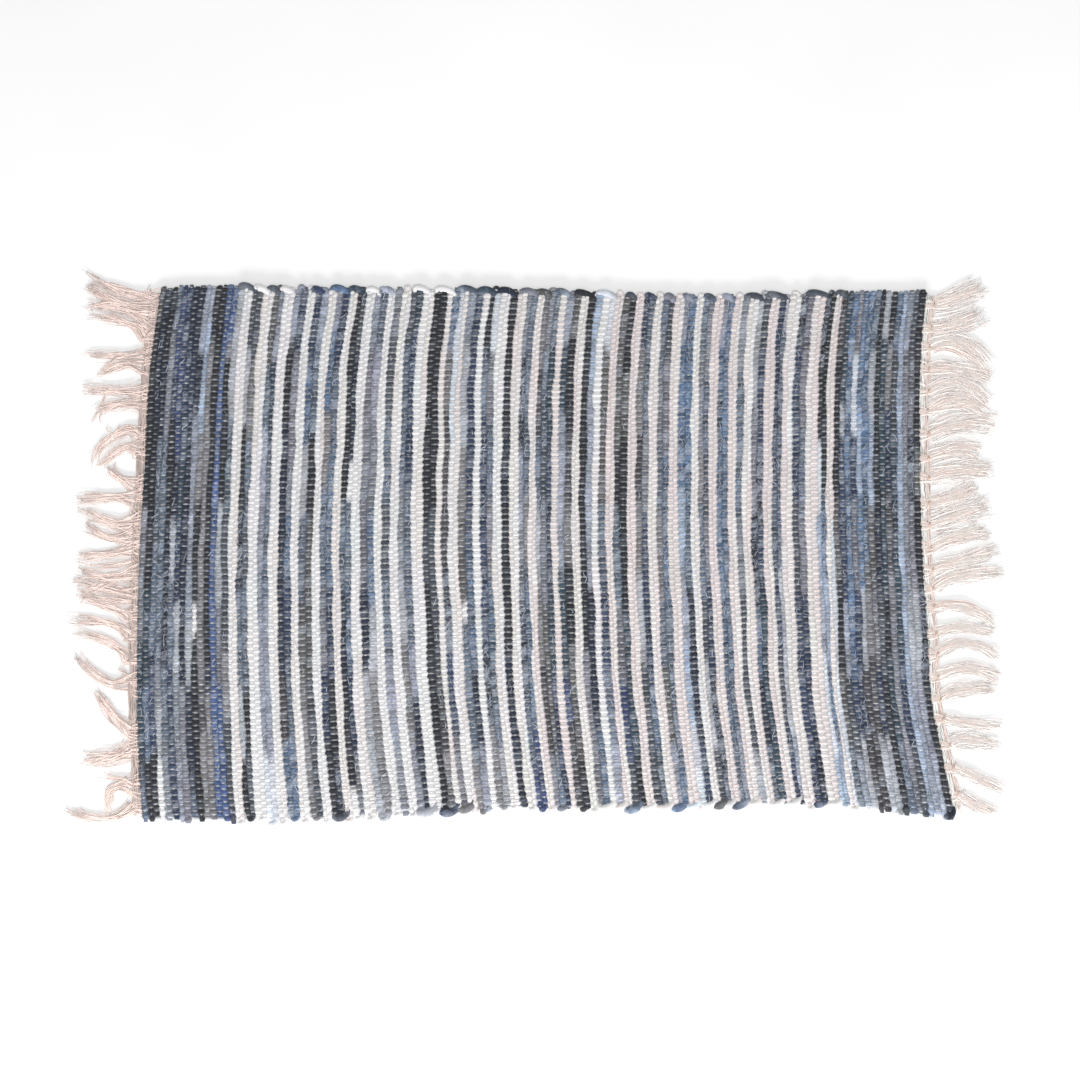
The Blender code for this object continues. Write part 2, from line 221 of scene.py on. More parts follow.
# The field from left to right, light and dark stripes in turn: a stripe's width, then its picks. A
# line that starts with a bar goes on with the stripe above it.
FIELD = """\
10 | white | white 20 cream
12 | charcoal 12 silver 26 black 43 speckled 58 slate 73 silver 88 black
  | charcoal 12 taupe 28 slate 43 charcoal 58 slate 74 black 88 charcoal
12 | cream 30 white | white
12 | olive 12 slate 28 lilac 88 snow | lilac 12 teal 28 slate 58 lilac 88 snow
11 | white | white 45 cream
14 | lilac 12 black 28 ink 72 brown 88 steel | navy 12 mauve 43 steel 58 navy 73 slate 88 denim
9 | white 60 cream | white
15 | navy 13 denim 29 silver 43 slate 58 olive 73 taupe
  | lilac 12 slate 28 black 43 olive 73 charcoal
9 | white | cream 35 white
14 | lilac 11 denim 28 taupe 43 slate 58 mauve 73 navy 88 black
  | navy 14 slate 28 steel 58 navy 72 black 88 speckled
9 | white 40 cream | cream
12 | black 40 slate 57 ink 73 black 93 white
  | charcoal 13 ink 36 white 41 slate 58 steel 73 navy 88 grey
10 | white | white 70 cream
16 | lilac 13 mauve 28 grey 43 mauve 58 ink 73 silver
  | slate 12 lilac 28 grey 42 steel 58 silver 72 taupe
9 | white | white
8 | grey 12 charcoal 28 slate 43 charcoal 58 slate 73 lilac 88 grey
10 | cream 40 white | white
14 | charcoal 12 slate 43 grey 58 silver 70 taupe 88 grey | teal 13 navy 43 slate 72 lilac 79 ink
14 | white | cream 55 white
15 | black 46 charcoal 56 black | black 43 charcoal 72 brown 88 taupe
7 | cream
7 | steel 12 taupe 28 brown 58 speckled 72 navy 88 mauve
12 | snow 30 white | cream 12 pink 30 cream
16 | lilac 12 silver 28 taupe 43 olive 58 white 66 slate 88 taupe | navy 50 steel 73 ink 88 lilac
8 | white
14 | black 12 slate 28 navy 72 speckled 84 taupe
  | snow 12 mauve 28 slate 43 mauve 58 steel 72 slate 88 silver
11 | white 50 cream | white
8 | black 28 ink 44 black 73 ink
11 | pink 14 cream | cream 40 white
11 | grey 12 speckled 28 lilac 43 grey 58 speckled 73 slate 88 indigo
  | slate 43 taupe 57 steel 88 indigo
9 | cream | cream 60 pink
17 | taupe 12 brown 28 slate 43 silver 57 taupe 73 brown 88 grey
  | grey 12 slate 30 charcoal 42 grey 60 olive 90 slate
  | slate 12 teal 28 navy 60 teal 73 navy
8 | cream 14 pink
15 | lilac 12 teal 28 lilac 58 teal 79 indigo 88 brown
  | olive 12 black 28 brown 43 taupe 57 black 73 olive 92 black
9 | cream 14 pink 30 cream | cream
14 | black 73 mauve | sky 21 lilac 58 ink 88 steel
8 | white
8 | snow 12 olive 43 slate 58 navy 73 slate 88 lilac
9 | pink | pink 50 cream
15 | olive 28 black 43 slate 58 mauve 73 indigo 88 charcoal
  | black 16 olive 26 black 62 teal 88 black
10 | pink | pink
14 | navy 12 taupe 28 brown 43 taupe 57 silver 73 charcoal | slate 25 grey 43 navy 73 steel 88 slate
10 | cream | cream 50 pink
13 | slate 12 grey 28 slate 43 taupe 58 slate 72 olive 88 lilac
  | charcoal 12 mauve 28 steel 58 slate 88 denim
12 | pink | cream 30 pink
14 | lilac 12 denim 43 sky 57 lilac 73 sky 88 snow | denim 43 slate 58 ink 88 navy
9 | white | cream
11 | slate 12 grey 28 taupe 43 slate 58 charcoal 72 silver 88 charcoal
  | grey 12 slate 28 charcoal 43 mauve 58 navy 73 speckled 92 slate
10 | pink | pink
11.3 | lilac 12 steel 43 denim 58 steel 88 slate | denim 12 cornflower 28 steel 72 slate 88 lilac
10.5 | pink | cream
6.5 | grey 12 slate 45 grey 58 charcoal 88 silver
10.5 | cream | white 40 pink
12.9 | silver 20 mauve 43 speckled 60 steel 73 ink 88 slate
  | charcoal 12 navy 28 speckled 43 navy 58 teal
11.1 | pink | pink 45 cream
9.5 | navy 43 slate 58 navy 73 charcoal 88 navy | silver 12 slate 43 steel 58 silver 88 lilac
12.9 | cream 13 pink 50 cream | white 30 cream
14.6 | speckled 12 navy 43 charcoal 60 navy | mauve 28 slate 43 mauve 58 navy 88 ink
14 | cream | pink
9.4 | speckled 14 black 30 snow 43 sky 57 lilac 73 snow 88 sky
  | black 43 steel 57 sky 73 denim 88 sky
8.9 | cream | pink 50 snow
0
""".replace("\n  |", " |").splitlines()

# Rags that bulge past the two long edges: where each starts and ends along X, the rag, and how far
# it stands out
BACK_LOOPS = (
    (-348, -329, "charcoal", 3), (-329, -315, "white", 1), (-315, -302, "charcoal", 1),
    (-301, -286, "white", 1), (-265, -252, "navy", 1), (-244, -224, "denim", 3),
    (-223, -205, "teal", 2), (-203, -188, "white", 2), (-183, -171, "lilac", 1), (-146, -127, "white", 3),
    (-120, -97, "white", 2), (-94, -70, "slate", 3), (-70, -49, "teal", 2), (-47, -26, "ink", 2),
    (-21, -1, "grey", 2), (-3, 15, "olive", 1), (19, 36, "slate", 2), (42, 63, "black", 1),
    (64, 87, "snow", 2), (101, 111, "charcoal", 1), (125, 134, "navy", 1), (148, 158, "grey", 1),
    (170, 181, "lilac", 1), (193, 205, "slate", 1), (214, 225, "lilac", 1), (239, 259, "charcoal", 1),
    (263, 287, "charcoal", 1), (308, 334, "charcoal", 2), (341, 354, "charcoal", 1),
)
FRONT_LOOPS = (
    (-231, -215, "charcoal", 2), (-146, -123, "silver", 2), (-119, -98, "navy", 4), (-98, -80, "taupe", 1),
    (64, 81, "white", 2), (83, 94, "cream", 1), (92, 111, "slate", 3), (111, 128, "white", 2),
    (127, 146, "cream", 2), (145, 160, "steel", 2), (163, 176, "snow", 1), (178, 193, "white", 1),
    (191, 205, "olive", 1), (203, 215, "white", 1), (212, 230, "slate", 2), (231, 243, "cream", 1),
    (255, 270, "white", 2), (276, 289, "white", 1), (304, 318, "navy", 1), (320, 335, "white", 1),
    (445, 458, "ink", 2),
)

# Tassels from back to front: the root's place along the end, then how far the tassel reaches from
# the cloth and how far it has swayed, at its middle and at its tip, and how wide its tip fans out
RIGHT_TASSELS = (
    (279, 33, 6, 65, 21, 16), (251, 37, 4, 68, 17, 20), (228, 44, 7, 74, -18, 14),
    (201, 42, 0, 78, -10, 16), (175, 42, 10, 75, -8, 15), (151, 43, 14, 78, 1, 17),
    (124, 46, 12, 83, 12, 20), (95, 42, 9, 68, 6, 16), (72, 44, 8, 79, 9, 17),
    (42, 38, 7, 62, 18, 16), (17, 40, 10, 77, 20, 18), (-10, 43, 13, 75, 17, 14),
    (-35, 38, 9, 79, 21, 12), (-57, 36, 14, 82, 18, 14), (-77, 38, -1, 73, -14, 8),
    (-108, 36, 7, 72, 3, 9), (-131, 41, 12, 75, 0, 8), (-157, 39, 10, 73, 1, 9),
    (-182, 31, 10, 68, 12, 12), (-204, 29, -3, 67, -6, 8), (-233, 24, 7, 60, 3, 14),
    (-258, 27, -7, 60, -23, 8), (-286, 21, -9, 47, -19, 9),
)
LEFT_TASSELS = (
    (289, 39, 2, 84, 25, 7), (278, 45, 4, 83, 22, 8), (265, 43, 8, 81, 15, 8),
    (242, 34, 16, 74, 24, 7), (218, 38, -1, 77, 0, 8), (205, 34, 1, 58, -11, 8),
    (174, 42, 1, 74, 2, 8), (160, 34, -1, 59, -9, 9), (122, 28, 3, 58, -18, 9),
    (105, 28, 1, 54, -19, 8), (63, 30, 10, 41, 22, 7), (47, 38, 2, 73, -1, 8),
    (20, 37, 1, 67, 14, 8), (4, 38, -1, 62, 12, 7), (-11, 41, -7, 72, -8, 8),
    (-40, 39, -3, 68, 6, 8), (-64, 34, 6, 71, 14, 8), (-88, 30, 10, 64, 23, 8),
    (-111, 30, 14, 72, 19, 8), (-138, 28, 18, 67, 31, 8), (-162, 35, 1, 67, 26, 8),
    (-216, 31, 20, 47, 42, 9), (-238, 29, -8, 61, -11, 14), (-278, 31, -2, 34, -24, 7),
    (-301, 40, -13, 80, -4, 8),
)
# Looser yarns of the fringes: how many, then for their start, middle and tip the reach from the
# cloth's end, the place along it and how far to each side they spread
LEFT_LOOSE = (
    (6, 9, 288, 5, 40, 299, 3, 84, 311, 6), (7, 8, 252, 9, 27, 268, 6, 48, 280, 3),
    (5, 7, 232, 6, 18, 253, 3, 38, 258, 2), (7, 48, 279, 3, 66, 290, 5, 85, 300, 5),
    (6, 48, 279, 3, 65, 280, 3, 84, 277, 4), (5, 34, 216, 2, 48, 209, 2, 57, 193, 3),
    (2, 49, 174, 1, 57, 152, 1, 66, 134, 2), (2, 35, 159, 1, 55, 147, 1, 46, 131, 1),
    (2, 46, 131, 1, 39, 125, 1, 30, 134, 1), (7, 4, 112, 6, 22, 133, 3, 46, 114, 5),
    (7, 40, 121, 4, 53, 107, 6, 57, 86, 6), (2, 38, 79, 1, 24, 68, 1, 12, 62, 1),
    (7, 9, 18, 3, 30, 14, 3, 67, 37, 4), (4, 11, 9, 2, 32, 2, 2, 64, 18, 2),
    (3, 12, 46, 2, 14, 32, 1, 14, 13, 2), (6, 10, -26, 4, 40, -31, 4, 70, -30, 4),
    (6, 11, -41, 5, 44, -53, 6, 66, -70, 6), (5, 10, -70, 3, 35, -67, 4, 67, -58, 4),
    (2, 13, -58, 2, 50, -44, 1, 76, -47, 1), (4, 6, -108, 2, 29, -96, 2, 46, -97, 2),
    (4, 12, -156, 2, 38, -159, 2, 65, -133, 3), (3, 7, -156, 1, 17, -149, 2, 24, -147, 2),
    (7, 10, -223, 4, 36, -196, 5, 50, -172, 3), (7, 10, -241, 4, 37, -245, 5, 63, -258, 5),
    (4, 9, -277, 3, 27, -269, 3, 49, -266, 3), (4, 8, -288, 2, 32, -283, 3, 37, -314, 2),
)
RIGHT_LOOSE = (
    (6, 9, 281, 3, 39, 290, 4, 66, 301, 5), (7, 12, 224, 2, 48, 229, 5, 75, 200, 6),
    (7, 12, 224, 2, 46, 222, 6, 78, 189, 6), (7, 12, 151, 2, 48, 159, 6, 78, 164, 5),
    (5, 12, 42, 2, 41, 47, 3, 64, 63, 4), (5, 12, 81, 2, 47, 83, 4, 81, 74, 4),
    (5, 12, 17, 2, 48, 30, 3, 79, 46, 4), (6, 12, -77, 2, 46, -74, 4, 75, -95, 5),
)
# The two ends: out is which way the fringe points, heading_plain how many heading yarns next to the
# cloth are whiter than the rest. Body and wisp_spread are shares of how wide a tassel fans out.
LEFT = SimpleNamespace(
    name="left", out=-1, share=0.0, edge=LEFT_EDGE, tassels=LEFT_TASSELS, loose=LEFT_LOOSE,
    draws=3, heading_draws=5, heading_width=9.0, heading_yarns=10, heading_plain=0,
    heading_shade=0.64, root_spread=11.0, yarns=11, body=0.58, wisps=22, wisp_spread=0.4,
    yarn_radius=0.74, pile=1.7, wisp_radius=0.38, yarn_colour=(0.95, 0.872, 0.842),
    wisp_colour=(0.955, 0.892, 0.868), shades=(0.88, 1.08),
)
RIGHT = SimpleNamespace(
    name="right", out=1, share=1.0, edge=RIGHT_EDGE, tassels=RIGHT_TASSELS, loose=RIGHT_LOOSE,
    draws=4, heading_draws=6, heading_width=10.5, heading_yarns=11, heading_plain=6,
    heading_shade=0.78, root_spread=3.0, yarns=13, body=0.42, wisps=54, wisp_spread=0.45,
    yarn_radius=0.92, pile=1.0, wisp_radius=0.6, yarn_colour=(0.995, 0.924, 0.895),
    wisp_colour=(1.0, 0.956, 0.94), shades=(0.97, 1.07),
)
PLAIN_COLOUR = (0.96, 0.955, 0.94)
KNOT_HALF_WIDTH = 2.4
KNOT_RADIUS = 0.95
HEADING_RADIUS = 0.8
HEADING_STATIONS = 170
KNOT_COLOUR = (0.8, 0.7, 0.64)
WARP_COLOUR = (0.83, 0.83, 0.835)
YARN_WEAR = 0.3

# The stage, in metres: the lamps by name, with their place, size and power
FLOOR_SIZE = 14
SKY_STRENGTH = 0.57
LAMPS = (("front lamp", (-0.3, -2.6, 0.8), (2.2, 0.6), 91),
         ("top lamp", (0.4, -0.6, 3.0), (2.0, 2.0), 42))


def linear(colour):
    """Linear value of an sRGB colour."""
    c = np.asarray(colour, float)
    return np.where(c <= 0.04045, c / 12.92, ((c + 0.055) / 1.055) ** 2.4)


def through(table, place):
    """Smooth curve through the rows of an edge, read at places along it."""
    places, offsets = np.array(table, float).T
    slopes = np.gradient(offsets, places)
    i = np.clip(np.searchsorted(places, place) - 1, 0, len(places) - 2)
    span = places[i + 1] - places[i]
    t = (place - places[i]) / span
    start = offsets[i] * (1 + 2 * t) * (1 - t) ** 2 + slopes[i] * span * t * (1 - t) ** 2
    end = offsets[i + 1] * (3 - 2 * t) * t ** 2 - slopes[i + 1] * span * (1 - t) * t ** 2
    return start + end


def along(table, fraction):
    """Place that is this fraction of the way from an edge's first row to its last."""
    return table[0][0] + (table[-1][0] - table[0][0]) * fraction


def side_edge(table, v):
    y = along(table, v)
    return np.stack((through(table, y), y), -1)


def long_edge(table, u):
    x = along(table, u)
    return np.stack((x, through(table, x)), -1)


def wander(x, v):
    """Shift along X of the picks at x, v of the way from the front to the back."""
    table = np.array(WANDER, float)
    shifts = [np.interp(x, table[:, 0], table[:, column]) for column in range(1, 5)]
    shifts = np.stack(shifts[:2] + [np.zeros_like(x)] + shifts[2:])
    places = np.array(WANDER_PLACES)
    i = np.clip(np.searchsorted(places, v) - 1, 0, len(places) - 2)
    t = np.clip((v - places[i]) / (places[i + 1] - places[i]), 0, 1)
    before = np.take_along_axis(shifts, i[None], 0)[0]
    after = np.take_along_axis(shifts, i[None] + 1, 0)[0]
    return before * (1 - t) + after * t


def cloth_points(u, v):
    """Places on the cloth, u of the way along it and v of the way from its front to its back."""
    u, v = np.broadcast_arrays(np.asarray(u, float), np.asarray(v, float))
    left, right = side_edge(LEFT_EDGE, v), side_edge(RIGHT_EDGE, v)
    front, back = long_edge(FRONT_EDGE, u), long_edge(BACK_EDGE, u)
    a, b = u[..., None], v[..., None]
    corners = ((1 - a) * (1 - b) * long_edge(FRONT_EDGE, 0.0) + a * (1 - b) * long_edge(FRONT_EDGE, 1.0)
               + (1 - a) * b * long_edge(BACK_EDGE, 0.0) + a * b * long_edge(BACK_EDGE, 1.0))
    points = (1 - a) * left + a * right + (1 - b) * front + b * back - corners
    points[..., 0] += wander(points[..., 0], v) * np.clip(12 * np.minimum(u, 1 - u), 0, 1)
    return points


def smooth_noise(rng, lines, places, cell):
    """Smooth random values about 0, one line of them for each strand, read at its places."""
    knots = rng.standard_normal((lines, int(np.max(places) / cell) + 3))
    at = np.broadcast_to(np.maximum(places, 0) / cell, (lines, np.shape(places)[-1]))
    i = at.astype(int)
    t = at - i
    t = t * t * (3 - 2 * t)
    rows = np.arange(lines)[:, None]
    return knots[rows, i] * (1 - t) + knots[rows, i + 1] * t


class Rug:
    """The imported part's frame: where the tables' middle lies in it."""

    def __init__(self):
        rim = np.linspace(0, 1, 200)
        points = np.concatenate([cloth_points(rim, 0.0), cloth_points(rim, 1.0),
                                 cloth_points(0.0, rim), cloth_points(1.0, rim)])
        low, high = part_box("woven_cloth")
        middle = np.array((low + high) / 2)[:2]
        self.shift = middle - (points.min(0) + points.max(0)) / 2 * MM

    def place(self, points):
        """Points of the tables in the part's frame, in metres."""
        moved = np.array(points, float) * MM
        moved[..., :2] += self.shift
        return moved


def add_object(name, data):
    made = bpy.data.objects.new(name, data)
    bpy.context.scene.collection.objects.link(made)
    return made


def add_attribute(mesh, name, kind, field, values):
    layer = mesh.attributes.new(name, kind, "POINT")
    layer.data.foreach_set(field, np.ascontiguousarray(values, np.float32).ravel())


def strand_mesh(name, rings, material, tint, measure):
    """Joined closed strands. rings is strands x stations x section points x 3, in metres, tint a
    colour and wear for each station or for each of its points, and measure how far along the strand
    each station lies."""
    strands, stations, count, _ = rings.shape
    index = np.arange(rings[..., 0].size).reshape(strands, stations, count)
    turned = np.roll(index, -1, axis=2)
    sides = np.stack((index[:, :-1], turned[:, :-1], turned[:, 1:], index[:, 1:]), -1).reshape(-1, 4)
    caps = np.concatenate((index[:, 0, ::-1], index[:, -1]))
    mesh = bpy.data.meshes.new(name)
    mesh.vertices.add(index.size)
    mesh.vertices.foreach_set("co", rings.astype(np.float32).ravel())
    mesh.loops.add(sides.size + caps.size)
    mesh.loops.foreach_set("vertex_index", np.concatenate((sides.ravel(), caps.ravel())).astype(np.int32))
    starts = np.concatenate((np.arange(len(sides)) * 4, sides.size + np.arange(len(caps)) * count))
    mesh.polygons.add(len(starts))
    mesh.polygons.foreach_set("loop_start", starts.astype(np.int32))
    mesh.update(calc_edges=True)
    mesh.shade_smooth()
    tints = np.broadcast_to(tint if tint.ndim == 4 else tint[:, :, None], (strands, stations, count, 4))
    add_attribute(mesh, "tint", "FLOAT_COLOR", "color", tints)
    strand = np.empty((strands, stations, count, 3), np.float32)
    strand[..., 0] = measure[:, :, None]
    strand[..., 1] = np.arange(count) / count
    strand[..., 2] = np.arange(strands)[:, None, None]
    add_attribute(mesh, "strand", "FLOAT_VECTOR", "vector", strand)
    lay_out(mesh, rings, strands, stations, count, len(caps))
    mesh.materials.append(material)
    return add_object(name, mesh)


def joined(rug, name, strands, material):
    """One piece of strands, each given as its rings, tints and measures."""
    rings, tints, measures = (np.stack(column) for column in zip(*strands))
    return strand_mesh(name, rug.place(rings), material, tints, measures)


def yarn_tints(colours, highest=1.0):
    tints = np.full(colours.shape[:-1] + (4,), YARN_WEAR)
    tints[..., :3] = np.clip(colours, 0, highest)
    return tints


def lay_out(mesh, rings, strands, stations, count, caps):
    """UV map with each strand unrolled in a cell of its own, side by side."""
    first = rings[0, :, 0]
    length = np.linalg.norm(np.diff(first, axis=0), axis=1).sum()
    middle = rings[0, stations // 2]
    girth = np.linalg.norm(middle - np.roll(middle, 1, axis=0), axis=1).sum()
    columns = max(1, min(strands, round(math.sqrt(strands * length / girth))))
    rows = math.ceil(strands / columns)
    cell = np.arange(strands)
    corner_u = np.arange(count)[None, None, :, None] + np.array((0, 1, 1, 0))
    corner_v = np.arange(stations - 1)[None, :, None, None] + np.array((0, 0, 1, 1))
    u = ((cell % columns)[:, None, None, None] + 0.04 + 0.92 * corner_u / count) / columns
    v = ((cell // columns)[:, None, None, None] + 0.02 + 0.94 * corner_v / (stations - 1)) / rows
    sides = np.stack(np.broadcast_arrays(u, v), -1).reshape(-1, 2)
    cap_u = np.repeat((np.tile(cell % columns, 2) + 0.5) / columns, count)
    cap_v = np.repeat((np.tile(cell // columns, 2) + 0.98) / rows, count)
    turn = np.tile(np.arange(count) / count * 2 * math.pi, caps)
    cap = np.stack((cap_u + 0.1 / columns * np.cos(turn), cap_v + 0.008 / rows * np.sin(turn)), -1)
    layer = mesh.uv_layers.new(name="OFBake")
    layer.data.foreach_set("uv", np.concatenate((sides, cap)).astype(np.float32).ravel())


def rag_tints(rng, plan, places, across, length):
    """Colour and wear of a pick at places from its front, 0, to its back, 1, and at points across
    it. One rag ends beside the next one's start, so a join runs aslant."""
    words = plan.split()
    rags = [np.array((*linear(RAGS[name][0]), RAGS[name][1])) for name in words[::2]]
    from_back = np.broadcast_to((1 - places)[:, None] * length, (len(places), len(across)))
    tints = np.broadcast_to(rags[0], from_back.shape + (4,))
    stray = rng.uniform(-1, 1)
    for join, rag in zip(words[1::2], rags[1:]):
        place = (float(join) / 100 + JOIN_SPREAD * (stray + rng.uniform(-1, 1)) / 2) * length
        slant = rng.uniform(-1, 1) * JOIN_SLANT * across
        share = np.clip((from_back + slant - place) / JOIN_FADE + 0.5, 0, 1)[..., None]
        tints = tints * (1 - share) + rag * share
    wear = tints[..., 3]
    at = (from_back + 2.5 * across + 5).ravel()
    patch, turned, speck, warm, cool = (smooth_noise(rng, 1, at, cell)[0].reshape(wear.shape)
                                        for cell in (23, 5, 2.4, 60, 45))
    specks = 1 + 0.26 * wear * np.clip(speck, -2, 2)
    colour_drop = (1 - 0.4 * wear * np.clip(-turned - 0.3, 0, 1)) * specks
    turned = (np.clip(turned - 0.2, 0, 1) * wear)[..., None]
    colour = tints[..., :3] * ((1 + (0.03 + 0.2 * wear) * np.clip(patch, -2, 2)) * colour_drop)[..., None]
    colour = colour * (1 - turned) + (0.4 * colour + 0.6 * linear(PALE_BACK)) * turned
    colour = colour * (1 + 0.013 * np.stack((warm, -0.5 * warm, 0.6 * cool), -1))
    return np.concatenate((np.clip(colour, 0, 1), wear[..., None]), -1)


def pick_plan():
    """Each pick from left to right: its width, its rags, the piece it is in, which way its ends
    turn to meet the pick that the same strip goes on in, and the number of its stripe."""
    picks = [(BORDER_WIDTH / len(LEFT_BORDER), rags, "border_left", 0, k)
             for k, rags in enumerate(LEFT_BORDER)]
    number = len(picks)
    for row, group in zip(FIELD, itertools.cycle(("light", "dark"))):
        width, *stripe = row.split(" | ")
        for k, rags in enumerate(stripe):
            turn = 0 if len(stripe) == 1 else 1 if k == 0 else -1 if k == len(stripe) - 1 else 0
            picks.append((float(width) / len(stripe), rags, group, turn, number))
        number += 1
    picks += [(BORDER_WIDTH / len(RIGHT_BORDER), rags, "border_right", 0, number + k)
              for k, rags in enumerate(RIGHT_BORDER)]
    return picks


class Weave:
    """The picks from left to right, the lines between them and the colours they show on top."""

    def __init__(self):
        self.picks = pick_plan()
        reached = np.concatenate(([0], np.cumsum([pick[0] for pick in self.picks])))
        self.lines = reached / reached[-1]
        self.across = np.linspace(0, 1, 61)
        rng, across = np.random.default_rng(SEED), self.across * CLOTH_DEPTH
        self.drift = np.tanh(smooth_noise(rng, len(self.lines), across, BOUNDARY_CELL)) * BOUNDARY_DRIFT
        self.drift[[0, -1]] = 0
        self.tops = np.zeros((len(self.picks), len(self.across), 4))
        stripes = self.picks[-1][-1] + 1
        self.ends = np.random.default_rng(SEED + 8).uniform(*END_REACH, (stripes, 2))
        tucked = np.random.default_rng(SEED + 9).uniform(*TUCKED_REACH, stripes)
        for line, pick in zip(self.lines, self.picks):
            if pick[2] == "dark" and line > TUCKED_FROM:
                self.ends[pick[-1], 0] = tucked[pick[-1]]

    def edge(self, line, v):
        """Points of the line before a pick, at places across the cloth."""
        points = cloth_points(self.lines[line], v)
        points[:, 0] += np.interp(v, self.across, self.drift[line])
        return points

    def row(self, v):
        """Points where one line along the cloth crosses the lines between the picks."""
        points = cloth_points(self.lines, v)
        at = v * (len(self.across) - 1)
        before = min(int(at), len(self.across) - 2)
        share = at - before
        points[:, 0] += self.drift[:, before] * (1 - share) + self.drift[:, before + 1] * share
        return points

    def show(self, pick, places, tints):
        """Note the colour and wear that a pick shows at places across the cloth."""
        for channel in range(4):
            self.tops[pick, :, channel] = np.interp(self.across, places, tints[:, channel])

    def top(self, v):
        """Colour and wear of each pick's top on one line along the cloth."""
        return self.tops[:, round(v * (len(self.across) - 1))]


def pick_stations(parity):
    """Where a pick has its sections, from 0 at the front to 1, and which lie on a bump."""
    places, bumps = [0.0], [True]
    spacing = 1 / WARP_ENDS
    for end in range(WARP_ENDS):
        middle = (end + 0.5) * spacing
        if (end + parity) % 2 == 0:
            places.append(middle)
            bumps.append(False)
        else:
            places += [middle - BUMP_STEP * spacing, middle + BUMP_STEP * spacing]
            bumps += [True, True]
    return np.array(places + [1.0]), np.array(bumps + [True])


def weave_picks(rug, weave, rag_material):
    """The woven strips, each a lumpy strand pinched where a warp yarn passes over it, and the places
    on them where threads have frayed."""
    rng = np.random.default_rng(SEED)
    across_section = np.array([a for a, b in PICK_SECTION])
    groups, worn = {}, []
    for k, (width, rags, group, turn, stripe) in enumerate(weave.picks):
        places, bumps = pick_stations(k % 2)
        edges = [weave.edge(k + side, places) for side in (0, 1)]
        middle, half = (edges[0] + edges[1]) / 2, (edges[1] - edges[0]) / 2
        from_end = np.minimum(places, 1 - places) * CLOTH_DEPTH
        rounding = np.sqrt(np.clip(from_end / END_ROUNDING, 0.06, 1))
        toward = np.clip(1 - from_end / TURN_LENGTH, 0, 1) ** 2 * TURN_SHIFT * turn
        tints = rag_tints(rng, rags, places, across_section, CLOTH_DEPTH)
        wear = tints[:, 1, 3]
        lump = 1 + 0.05 * smooth_noise(rng, 1, places * CLOTH_DEPTH, 14)[0]
        jitter = 1 + (0.05 + 0.09 * wear) * rng.standard_normal(len(places))
        across = np.where(bumps, BUMP_WIDTH, PINCH_WIDTH) * jitter * lump * (0.35 + 0.65 * rounding)
        high = np.where(bumps, BUMP_HALF_HEIGHT, PINCH_HALF_HEIGHT) * lump * rounding
        high *= 1 + 0.1 * wear * np.clip(rng.standard_normal(len(places)), -2, 1)
        low = np.where(bumps, PINCH_HALF_HEIGHT, BUMP_HALF_HEIGHT) * rounding
        lift = np.where(bumps, BUMP_LIFT, -BUMP_LIFT) + THICKNESS / 2
        after = np.roll(bumps, 1) & bumps
        slant = np.where(bumps, np.where(after, BUMP_SLANT, -BUMP_SLANT), 0)
        slant += (0.12 + 0.38 * wear) * rng.standard_normal(len(places))
        middle[:, 0] += slant * rounding
        front_reach, back_reach = weave.ends[stripe]
        middle[:, 1] -= front_reach * np.clip(1 - places * CLOTH_DEPTH / END_STRETCH, 0, 1)
        middle[:, 1] += back_reach * np.clip(1 - (1 - places) * CLOTH_DEPTH / END_STRETCH, 0, 1)
        ring = np.empty((len(places), len(PICK_SECTION), 3))
        for p, (a, b) in enumerate(PICK_SECTION):
            ring[:, p, :2] = middle + half * (a * across + toward * 2)[:, None]
            ring[:, p, 2] = lift + b * np.where(b >= 0, high, low)
        ring[..., 2] += max(0.0, 0.02 - ring[..., 2].min())
        weave.show(k, places, tints[:, 1])
        groups.setdefault(group, []).append((ring, tints, places * CLOTH_DEPTH + 100 * k))
        frayed = (rng.random(len(places)) < wear ** 2) & (from_end > 9)
        worn += [(*middle[s], *tints[s, 1, :3]) for s in np.flatnonzero(frayed)]
    made = [joined(rug, "weft_" + group, strands, rag_material) for group, strands in groups.items()]
    return made, rng.permutation(np.array(worn))[:FRAYS]


def frayed_threads(rug, frays, yarn_material):
    """Pale threads frayed from the worn rags, lying curled on top of them."""
    rng = np.random.default_rng(SEED + 7)
    t = np.linspace(-1, 1, 7)
    one_each = (len(frays), 1)
    half, bend = rng.uniform(2.2, 7, one_each), rng.normal(0, 1.3, one_each)
    curl = rng.normal(0, 1, one_each)
    turn = math.pi / 2 + rng.normal(0, 0.4, one_each)
    ahead = half * t
    aside = bend * (1 - t ** 2) + curl * np.sin(math.pi * t) + rng.uniform(-1.6, 1.6, one_each)
    paths = np.empty((len(frays), len(t), 3))
    paths[..., 0] = frays[:, :1] + np.cos(turn) * ahead - np.sin(turn) * aside
    paths[..., 1] = frays[:, 1:2] + np.sin(turn) * ahead + np.cos(turn) * aside
    paths[..., 2] = FRAY_HEIGHT + FRAY_RISE * (1 - t ** 4) + rng.uniform(-0.1, 0.1, one_each)
    radii = FRAY_RADIUS * (1 - 0.4 * t ** 4) * rng.uniform(0.75, 1.3, one_each)
    pale = 0.3 * frays[:, 2:] + 0.7 * linear(PALE_BACK) * rng.uniform(0.6, 1.8, one_each)
    tints = yarn_tints(np.broadcast_to(pale[:, None], paths.shape), 0.8)
    measures = ahead + 20 * np.arange(len(frays))[:, None]
    rings = rug.place(tube_rings(paths, radii, 3))
    return strand_mesh("frayed_threads", rings, yarn_material, tints, measures)


